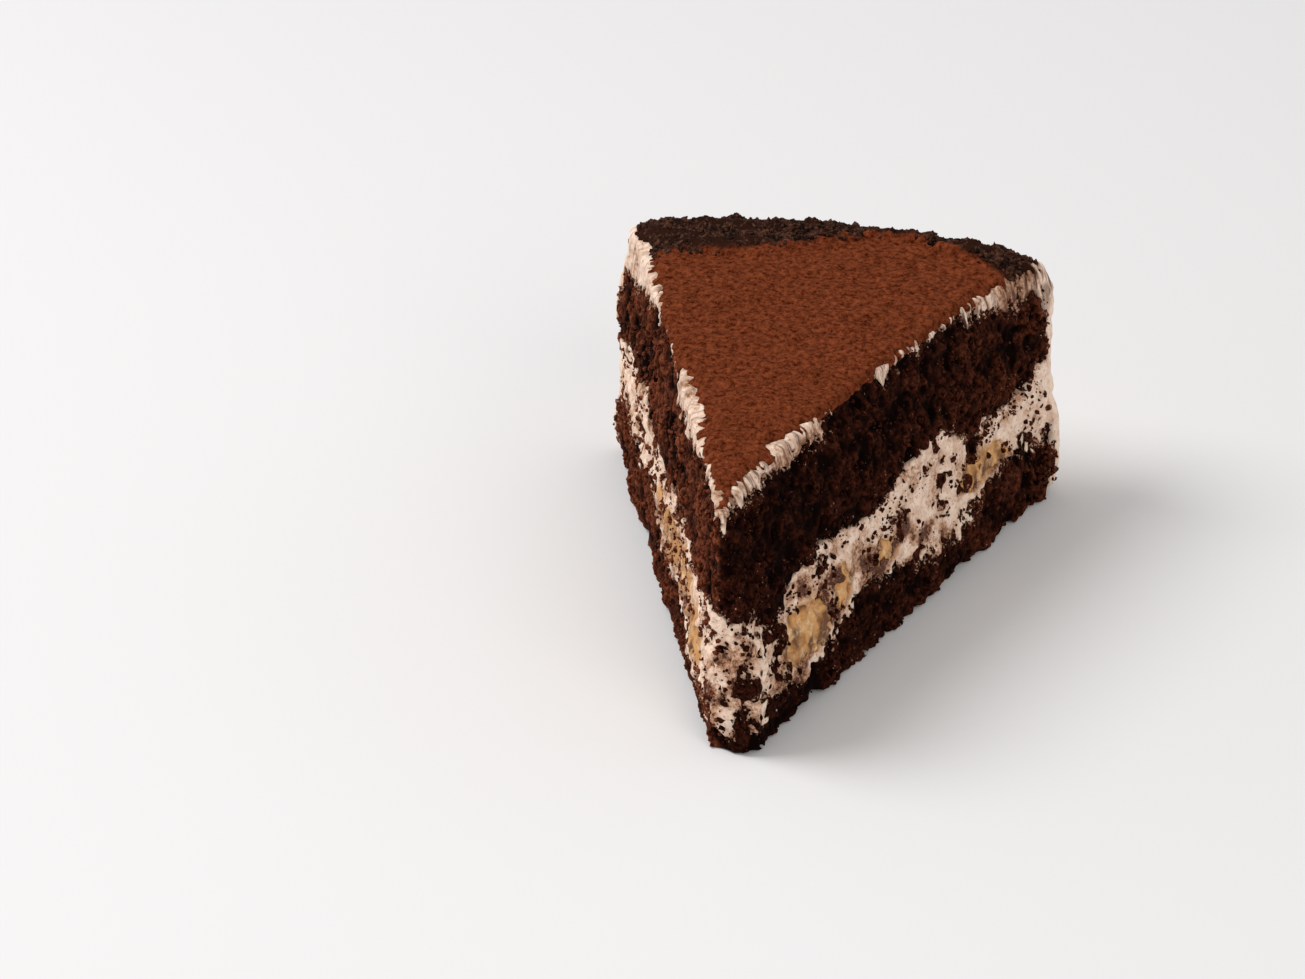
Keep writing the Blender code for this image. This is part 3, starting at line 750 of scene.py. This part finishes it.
def whipped_cream():
    """Whipped cream, spread and then cut: soft and nearly matt, tan where it is thin, flecked
    with brown crumbs, tinted by fruit, and drawn into streaks along the top edges. The flecks
    are coarser than the finest crumbs, which wouldn't show."""
    material, tree, surface, place = new_material(
        "whipped_cream", Roughness=0.55, Subsurface_Weight=0.2, Subsurface_Scale=0.8 * MM,
        Subsurface_Radius=(1.0, 0.7, 0.5), Specular_IOR_Level=0.25)
    stained = add(tree, "ShaderNodeAttribute", attribute_name="stain").outputs["Fac"]
    fruity = add(tree, "ShaderNodeAttribute", attribute_name="fruit").outputs["Fac"]
    at_edge = add(tree, "ShaderNodeAttribute", attribute_name="edge").outputs["Fac"]
    tone = add(tree, "ShaderNodeTexNoise", {"Vector": place, "Scale": 1.0 / (CREAM_TONE * MM),
                                            "Detail": 4.0, "Roughness": 0.7})
    toned = add(tree, "ShaderNodeMath", {0: stained, 1: 0.5, 2: tone.outputs["Fac"]},
                operation="MULTIPLY_ADD")
    tone_share = add(tree, "ShaderNodeMapRange", {"Value": toned.outputs[0], "From Min": 0.4,
                                                  "From Max": 0.75})
    plain = add(tree, "ShaderNodeMix", {FACTOR: tone_share.outputs[0], FIRST: linear("#fae0cc"),
                                        SECOND: linear("#d0a78a")}, data_type="RGBA")
    tint = add(tree, "ShaderNodeMath", {0: fruity, 1: tone.outputs["Fac"]}, operation="ADD")
    tint_share = add(tree, "ShaderNodeMapRange", {"Value": tint.outputs[0], "From Min": 0.65,
                                                  "From Max": 1.3})
    tinted = add(tree, "ShaderNodeMix", {FACTOR: tint_share.outputs[0],
                                         FIRST: plain.outputs[MIXED],
                                         SECOND: linear("#c28c52")}, data_type="RGBA")

    # Streaks side by side along the edge, each as long as the cream is high.
    from_point = add(tree, "ShaderNodeVectorMath", {0: place, 1: TIP * MM}, operation="SUBTRACT")
    flat = add(tree, "ShaderNodeVectorMath", {0: from_point.outputs[0], 1: (1.0, 1.0, 0.0)},
               operation="MULTIPLY")
    length = add(tree, "ShaderNodeVectorMath", {0: flat.outputs[0]}, operation="LENGTH")
    height = add(tree, "ShaderNodeSeparateXYZ", {0: place})
    low_height = add(tree, "ShaderNodeMath", {0: height.outputs[2], 1: 0.15},
                     operation="MULTIPLY")
    drawn = add(tree, "ShaderNodeCombineXYZ", {0: length.outputs["Value"],
                                               2: low_height.outputs[0]})
    streak = add(tree, "ShaderNodeTexNoise", {"Vector": drawn.outputs[0],
                                              "Scale": 1.0 / (CREAM_STREAK * MM),
                                              "Detail": 2.0, "Roughness": 0.6})
    streak_share = add(tree, "ShaderNodeMapRange", {"Value": streak.outputs["Fac"],
                                                    "From Min": 0.45, "From Max": 0.65})
    streaks = add(tree, "ShaderNodeMath", {0: streak_share.outputs[0], 1: at_edge},
                  operation="MULTIPLY")

    # Where it is stained, it turns tan and then brown, fleck by fleck.
    fleck = add(tree, "ShaderNodeTexNoise", {"Vector": place, "Scale": 1.0 / (CREAM_FLECK * MM),
                                             "Detail": 3.0, "Roughness": 0.7})
    fleck_share = add(tree, "ShaderNodeMapRange", {"Value": fleck.outputs["Fac"],
                                                   "From Min": 0.3, "From Max": 0.7})
    flecks = add(tree, "ShaderNodeMath", {0: stained, 1: fleck_share.outputs[0]},
                 operation="ADD")
    thin_share = add(tree, "ShaderNodeMapRange", {"Value": flecks.outputs[0],
                                                  "From Min": 0.62, "From Max": 1.05})
    thin = add(tree, "ShaderNodeMix", {FACTOR: thin_share.outputs[0],
                                       FIRST: tinted.outputs[MIXED],
                                       SECOND: linear("#aa7c5e")}, data_type="RGBA")
    brown_share = add(tree, "ShaderNodeMapRange", {"Value": flecks.outputs[0],
                                                   "From Min": 1.0, "From Max": 1.35})
    dirty = add(tree, "ShaderNodeMath", {0: brown_share.outputs[0], 1: streaks.outputs[0]},
                operation="MAXIMUM")
    cream = add(tree, "ShaderNodeMix", {FACTOR: dirty.outputs[0], FIRST: thin.outputs[MIXED],
                                        SECOND: linear("#572d1a")}, data_type="RGBA")
    tree.links.new(cream.outputs[MIXED], surface.inputs["Base Color"])
    bump = add(tree, "ShaderNodeBump", {"Height": fleck.outputs["Fac"], "Strength": 0.5,
                                        "Distance": 0.3 * MM})
    tree.links.new(bump.outputs["Normal"], surface.inputs["Normal"])
    return material


def cocoa_powder():
    """Cocoa sifted over cream: matt and mottled, and dark under the crumbs of the rim. Single
    grains of cocoa are far too fine to show, so the mottle is as coarse as the clumps of them."""
    material, tree, surface, place = new_material("cocoa_powder", Roughness=1.0,
                                                  Specular_IOR_Level=0.03)
    uncovered = add(tree, "ShaderNodeAttribute", attribute_name="bare").outputs["Fac"]
    mottle = add(tree, "ShaderNodeTexNoise", {"Vector": place, "Scale": 1.0 / (COCOA_MOTTLE * MM),
                                              "Detail": 4.0, "Roughness": 0.8})
    share = add(tree, "ShaderNodeMapRange", {"Value": mottle.outputs["Fac"], "From Min": 0.35,
                                             "From Max": 0.65})
    powder = add(tree, "ShaderNodeMix", {FACTOR: share.outputs[0], FIRST: linear("#380d00"),
                                         SECOND: linear("#8a4629")}, data_type="RGBA")
    covered = add(tree, "ShaderNodeMix", {FACTOR: uncovered, FIRST: powder.outputs[MIXED],
                                          SECOND: linear("#2e1810")}, data_type="RGBA")
    tree.links.new(covered.outputs[MIXED], surface.inputs["Base Color"])
    bump = add(tree, "ShaderNodeBump", {"Height": mottle.outputs["Fac"], "Strength": 0.9,
                                        "Distance": 0.5 * MM})
    tree.links.new(bump.outputs["Normal"], surface.inputs["Normal"])
    return material


def toasted_crumbs():
    """Cake crumbs, rubbed fine and toasted dry: matt, each a little lighter or darker. The
    pattern is as coarse as the crumbs, as what is finer wouldn't show."""
    material, tree, surface, place = new_material("toasted_crumbs", Roughness=0.9,
                                                  Specular_IOR_Level=0.12)
    grain = add(tree, "ShaderNodeTexNoise", {"Vector": place, "Scale": 1.0 / (CRUST_GRAIN * MM),
                                             "Detail": 3.0, "Roughness": 0.75})
    share = add(tree, "ShaderNodeMapRange", {"Value": grain.outputs["Fac"], "From Min": 0.42,
                                             "From Max": 0.72})
    crumb = add(tree, "ShaderNodeMix", {FACTOR: share.outputs[0], FIRST: linear("#150703"),
                                        SECOND: linear("#6a4331")}, data_type="RGBA")
    tree.links.new(crumb.outputs[MIXED], surface.inputs["Base Color"])
    bump = add(tree, "ShaderNodeBump", {"Height": grain.outputs["Fac"], "Strength": 0.6,
                                        "Distance": 0.3 * MM})
    tree.links.new(bump.outputs["Normal"], surface.inputs["Normal"])
    return material


def banana_flesh():
    """Ripe banana, cut by the knife: moist and slightly see-through, tan with darker streaks and
    smears of cream. The streaks are bundles of its fibres, which are too fine to show singly."""
    material, tree, surface, place = new_material(
        "banana_flesh", Roughness=0.4, Subsurface_Weight=0.3, Subsurface_Scale=1.2 * MM,
        Subsurface_Radius=(1.0, 0.6, 0.25), Specular_IOR_Level=0.35)
    streak = add(tree, "ShaderNodeAttribute", attribute_name="streak").outputs["Fac"]
    fine = add(tree, "ShaderNodeTexNoise", {"Vector": place, "Scale": 1.0 / (BANANA_FIBRE * MM),
                                            "Detail": 4.0, "Roughness": 0.7})
    grain = add(tree, "ShaderNodeMath", {0: streak, 1: fine.outputs["Fac"]}, operation="MULTIPLY")
    share = add(tree, "ShaderNodeMapRange", {"Value": grain.outputs[0], "From Min": 0.08,
                                             "From Max": 0.42})
    flesh = add(tree, "ShaderNodeMix", {FACTOR: share.outputs[0], FIRST: linear("#70421c"),
                                        SECOND: linear("#d69c5a")}, data_type="RGBA")
    broad = add(tree, "ShaderNodeTexNoise", {"Vector": place, "Scale": 1.0 / (BANANA_SMEAR * MM),
                                             "Detail": 5.0, "Roughness": 0.75})
    smear = add(tree, "ShaderNodeMapRange", {"Value": broad.outputs["Fac"], "From Min": 0.5,
                                             "From Max": 0.68, "To Max": 0.8})
    creamy = add(tree, "ShaderNodeMix", {FACTOR: smear.outputs[0], FIRST: flesh.outputs[MIXED],
                                         SECOND: linear("#f0d0a4")}, data_type="RGBA")
    tree.links.new(creamy.outputs[MIXED], surface.inputs["Base Color"])
    bump = add(tree, "ShaderNodeBump", {"Height": fine.outputs["Fac"], "Strength": 0.5,
                                        "Distance": 0.3 * MM})
    tree.links.new(bump.outputs["Normal"], surface.inputs["Normal"])
    return material


# The layers.
sponge = cocoa_sponge()
cream = whipped_cream()
smear = np.clip(1.0 - np.minimum(part_of("coat"), part_of("filling")) / SMEAR_WIDTH, 0.0, 1.0)
in_sponge = {"painted_pore_shade": painted_pore_shade, "painted_right_shade": painted_right_shade, "smear": smear}
in_cream = {"stain": stain, "fruit": fruit, "edge": edge}
add_layer("upper_sponge", sponge_skin, "upper", in_sponge, sponge, "sponge", "sponge_upper")
add_layer("lower_sponge", sponge_skin, "lower", in_sponge, sponge, "sponge", "sponge_lower")
add_layer("cream_filling", cream_skin, "filling", in_cream, cream, "cream", "filling_cream")
add_layer("dragged_sponge", sponge_skin, "dragged", in_sponge, sponge, "sponge", "filling_cream")
add_layer("cream_cover", coat_skin, "coat", in_cream, cream, "cream", "cream_coat")
ripples = noises((0.12, 0.9, 46), (0.24, (6.0, 1.1, 5.0), 47))
cocoa_skin = skin + np.clip(ripples, -RIPPLE_DEPTH, RIPPLE_DEPTH)
add_layer("cocoa_dusting", cocoa_skin, "cocoa", {"bare": bare}, cocoa_powder(), "cocoa",
          "cocoa_top")
del cocoa_skin, coat_skin, sponge_skin, ripples

# Each cell of fruit belongs to the piece that it is nearest to.
flesh = banana_flesh()
fruit_layer = finish_layer(cream_skin, "banana")
streaks = np.clip(0.5 + 0.4 * smooth_noise((0.8, 0.8, 3.0), 61), 0.0, 1.0)
for node in bananas:
    body = np.maximum(fruit_layer, distance_to(node) - fruit_near - OVERLAP)
    piece = surface_piece(node.replace("banana", "banana_piece"), body, {"streak": streaks})
    settle_piece(piece, flesh, "banana", node)


# Loose crumbs.
def lumps(name, centres, sizes, seed):
    """Many small uneven lumps, of 20 faces each, as one mesh, and how many points a lump has."""
    rng = np.random.default_rng(seed)
    bm = bmesh.new()
    bmesh.ops.create_icosphere(bm, subdivisions=1, radius=1.0)
    ball = np.array([vert.co for vert in bm.verts])
    corners = np.array([[vert.index for vert in face.verts] for face in bm.faces])
    bm.free()
    shapes = ball * (1.0 + LUMP_ROUGHNESS * rng.standard_normal((LUMP_SHAPES, len(ball), 1)))
    stretch = sizes[:, None] * rng.uniform(0.6, 1.4, (len(centres), 3))
    picked = shapes[rng.integers(0, LUMP_SHAPES, len(centres))] * stretch[:, None, :]
    points = np.einsum("nij,nvj->nvi", turns(rng, len(centres)), picked) + centres[:, None, :]
    points[:, :, 2] = np.maximum(points[:, :, 2], BASE_HEIGHT)
    shifts = len(ball) * np.arange(len(centres))[:, None, None]
    return make_mesh(name, points.reshape(-1, 3), [(corners + shifts).reshape(-1, 3)]), len(ball)


def rim_crumbs():
    """Dark crumbs heaped along the outer edge of the top, with a few strays further in."""
    rng = np.random.default_rng(71)
    share = rng.uniform(0.01, 0.99, RIM_TRIES)
    distance = RADIUS + 0.3 - RIM_DEPTH * rng.random(RIM_TRIES)
    width = curve(CRUMB_RIM, 100.0 * share) + rng.exponential(STRAY, RIM_TRIES)
    turn = (2.0 * share - 1.0) * HALF_ANGLE
    spots = TIP + np.stack((distance * np.sin(turn), distance * np.cos(turn), 0.0 * turn), 1)
    spots[:, 2] = RIM_LOW

    # Each spot rises until it is on top.
    for height in np.arange(RIM_LOW, RIM_HIGH, STEP):
        level = np.where([False, False, True], height, spots)
        spots[:, 2] = np.where(sample(skin, level) < 0.0, height, spots[:, 2])
    kept = (distance > RADIUS - width) & (spots[:, 2] > RIM_LOW)
    kept &= (layer_at(spots) == "cocoa") | (distance > RADIUS - RIM_CREAM)
    centres = spots[kept][:RIM_CRUMBS]
    sizes = CRUMB_SIZE + CRUMB_RANGE * rng.random(len(centres)) ** 4
    centres[:, 2] += rng.uniform(-0.4, 0.4, len(centres)) * sizes
    return lumps("rim_crumbs", centres, sizes, 72)[0]


def loose_crumbs():
    """Crumbs on the cream and on the sponge, finer ones than the dragged sponge, and a heap of
    larger ones that stand out at the foot of the right face's outer end."""
    rng = np.random.default_rng(73)

    # They lie in clumps, and hardly any on the fruit.
    clumps = sample(smooth_noise(3.0, 74), places)
    creamy = np.isin(owner, ("filling", "banana")) & (clumps > 0.0) & ~on_side
    creamy &= (owner == "filling") | (clumps > 1.2)
    on_cream = rng.choice(np.flatnonzero(creamy), CREAM_CRUMBS, replace=False)
    torn_sponge = np.flatnonzero(np.isin(owner, ("upper", "lower", "dragged")))
    on_sponge = rng.choice(torn_sponge, SPONGE_CRUMBS, replace=False)
    low_or_high = (places[:, 2] < FOOT_HEIGHT) | (places[:, 2] > RIM_FOOT)
    outside = np.flatnonzero(on_side & low_or_high & (clumps > -0.3))
    on_outside = rng.choice(outside, OUTER_CRUMBS, replace=False)
    chosen = np.concatenate((on_cream, on_sponge, on_outside))
    spread = rng.standard_normal((2, HEAP_COUNT))
    heap = on_face("right", HEAP_S + HEAP_HALF * spread[0], HEAP_Z + HEAP_HALF * spread[1])
    heap += np.multiply.outer(rng.uniform(-0.3, 0.7, HEAP_COUNT), face_directions("right")[1])
    centres = np.concatenate((resting[chosen], heap))
    sizes = CRUMB_SIZE + CRUMB_RANGE * rng.random(len(centres)) ** 3
    sizes[len(chosen):] += HEAP_MORE
    piece, count = lumps("loose_crumbs", centres, sizes, 75)
    # Each crumb gets some painted pore shade at random, and the painted shade of the right side
    # where it lies.
    own = {"painted_pore_shade": rng.uniform(0.2, 0.6, len(centres)), "painted_right_shade": sample(painted_right_shade, centres),
           "smear": np.zeros(len(centres))}
    give_traits(piece, {trait: np.repeat(values, count) for trait, values in own.items()})
    return piece


settle_piece(rim_crumbs(), toasted_crumbs(), "cocoa")
settle_piece(loose_crumbs(), sponge, "sponge")


# The stage, in metres.
FLOOR_SIZE, CLOUDS_IN_METRE = 6.0, 3.0
LAMPS_AIM = Vector((0.0, 0.0, 0.02))
ROOM_LIGHT = 0.55


def add_floor():
    """A floor of pale paper, rolled smooth: matt, with faint broad clouds."""
    bpy.ops.mesh.primitive_plane_add(size=FLOOR_SIZE)
    floor = bpy.context.object
    floor.name = "floor"
    material, tree, surface, place = new_material("pale_paper", Roughness=0.9)
    tone = add(tree, "ShaderNodeTexNoise", {"Vector": place, "Scale": CLOUDS_IN_METRE})
    paper = add(tree, "ShaderNodeMix", {FACTOR: tone.outputs["Fac"], FIRST: linear("#e9e8e8"),
                                        SECOND: linear("#edecec")}, data_type="RGBA")
    tree.links.new(paper.outputs[MIXED], surface.inputs["Base Color"])
    floor.data.materials.append(material)


def add_lamp(name, place, size, power, colour):
    """A soft round lamp, turned to the slice, with its power in watts."""
    lamp = bpy.data.lights.new(name, "AREA")
    lamp.shape = "DISK"
    lamp.size = size
    lamp.energy = power
    lamp.color = linear(colour)[:3]
    holder = bpy.data.objects.new(name, lamp)
    holder.location = place
    holder.rotation_euler = (LAMPS_AIM - Vector(place)).to_track_quat("-Z", "Y").to_euler()
    bpy.context.scene.collection.objects.link(holder)


def add_camera():
    """The camera, at the photograph's place and angle."""
    lens = bpy.data.cameras.new("photo_camera")
    lens.lens, lens.sensor_width = LENS, SENSOR
    camera = bpy.data.objects.new("photo_camera", lens)
    turn = CAMERA_DIRECTION.to_track_quat("-Z", "Y").to_matrix()
    camera.matrix_world = (Matrix.Translation(CAMERA_PLACE) @ turn.to_4x4()
                           @ Matrix.Rotation(CAMERA_ROLL, 4, "Z"))
    bpy.context.scene.collection.objects.link(camera)
    bpy.context.scene.camera = camera


add_floor()
add_lamp("window", (-0.85, -0.10, 1.1), 0.8, 12.0, "#ffffff")
add_lamp("lamp", (0.7, -0.95, 0.8), 0.8, 4.2, "#fffaf4")
world = bpy.data.worlds.new("studio")
world.use_nodes = True
room = world.node_tree.nodes["Background"]
room.inputs["Color"].default_value = linear("#f4f4f4")
room.inputs["Strength"].default_value = ROOM_LIGHT
bpy.context.scene.world = world
bpy.context.scene.view_settings.view_transform = "Standard"
add_camera()
